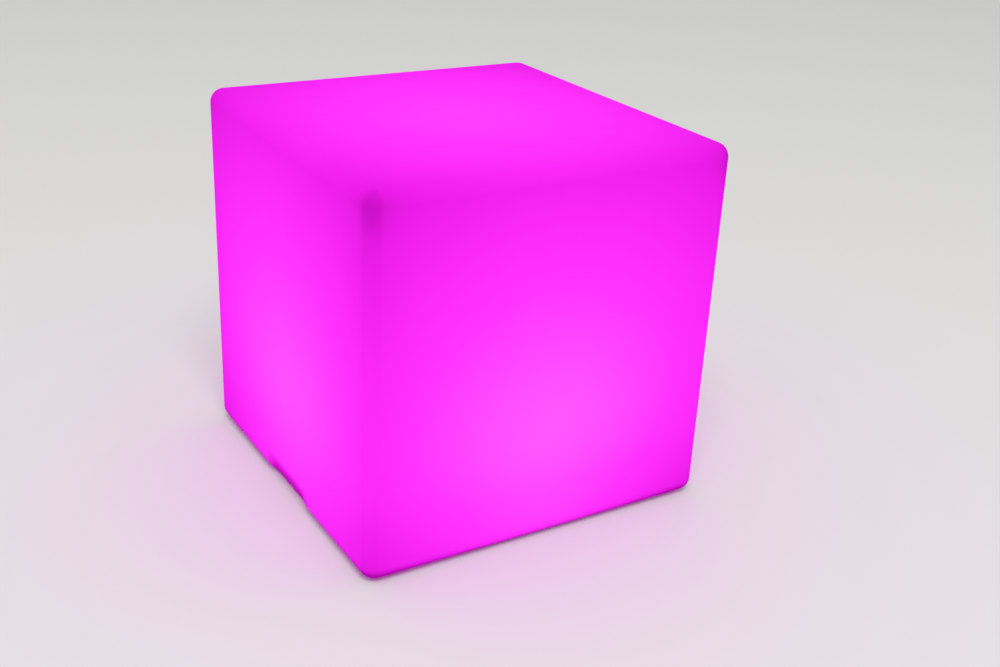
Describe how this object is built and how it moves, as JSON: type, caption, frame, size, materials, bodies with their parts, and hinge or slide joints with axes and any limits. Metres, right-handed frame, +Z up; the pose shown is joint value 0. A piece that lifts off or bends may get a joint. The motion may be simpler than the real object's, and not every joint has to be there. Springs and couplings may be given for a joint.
{
  "type": "led cube light",
  "caption": "Hollow moulded cube that glows from inside: a seat or low side table on rubber feet, with a round light module, push button and plugged charging inlet in its base.",
  "frame": {"origin": "on the floor, under the middle of the cube", "axes": "+Z up; -Y is the front side; -X is the side with the finger and cable recess"},
  "size_m": [0.4, 0.4, 0.396],
  "materials": {
    "shell_polyethylene": "rotomoulded, fine matt, lit from inside in magenta",
    "brass": "turned",
    "foot_rubber": "moulded, matt",
    "seal_silicone": "moulded silicone",
    "base_plastic": "moulded, fine spark texture",
    "case_plastic": "moulded, satin",
    "screw_steel": "stainless, turned",
    "spring_steel": "drawn wire",
    "spreader_aluminium": "stamped, brushed",
    "light_board_mask": "white solder mask",
    "emitter": "white frame, clear window",
    "receiver_plastic": "black epoxy",
    "dome_clear": "clear polycarbonate",
    "cell_sleeve": "shrink sleeve",
    "cradle_plastic": "moulded",
    "strap_tape": "polyester strip",
    "board_mask": "green solder mask",
    "header_nylon": "natural nylon",
    "panel_plastic": "moulded, satin",
    "button_plastic": "moulded",
    "panel_nut_nylon": "moulded nylon",
    "plug_silicone": "moulded silicone",
    "lead_sleeve": "sleeved lead"
  },
  "bodies": {
    "module_and_shell": {"diffuser_shell": "shell_polyethylene", "threaded_inserts": "brass", "rubber_feet": "foot_rubber", "base_gasket": "seal_silicone", "base_plate": "base_plastic", "base_screws": "screw_steel", "driver_housing": "case_plastic", "housing_gasket": "seal_silicone", "housing_screws": "screw_steel", "heat_spreader": "spreader_aluminium", "led_board": "light_board_mask", "led_packages": "emitter", "remote_receiver": "receiver_plastic", "light_screws": "screw_steel", "dome_gasket": "seal_silicone", "light_dome": "dome_clear", "dome_screws": "screw_steel", "battery_cells": "cell_sleeve", "battery_cradle": "cradle_plastic", "battery_strap": "strap_tape", "cradle_screws": "screw_steel", "control_board": "board_mask", "control_chips": "receiver_plastic", "board_connectors": "header_nylon", "board_screws": "screw_steel", "switch_body": "panel_plastic", "button_spring": "spring_steel", "panel_seals": "seal_silicone", "panel_nuts": "panel_nut_nylon", "charging_jack": "panel_plastic", "jack_pin": "brass", "plug_anchor": "plug_silicone", "charge_indicator": "dome_clear", "switch_lead": "lead_sleeve", "inlet_lead": "lead_sleeve", "battery_lead": "lead_sleeve", "light_lead": "lead_sleeve"},
    "button": {"power_button": "button_plastic"},
    "dust_plug": {"port_plug": "plug_silicone"}
  },
  "joints": [
    {"name": "button_press", "type": "slide", "parent": "module_and_shell", "child": "button", "axis": [0, 0, 1], "range_m": [0, 0.0015], "stiffness_N_per_m": 500, "springref_m": -0.003, "deforming": ["button_spring"]},
    {"name": "plug_tether", "type": "hinge", "parent": "module_and_shell", "child": "dust_plug", "pos_m": [-0.027, -0.027, 0.0132], "axis": [0, 1, 0], "range_deg": [0, 110]}
  ]
}
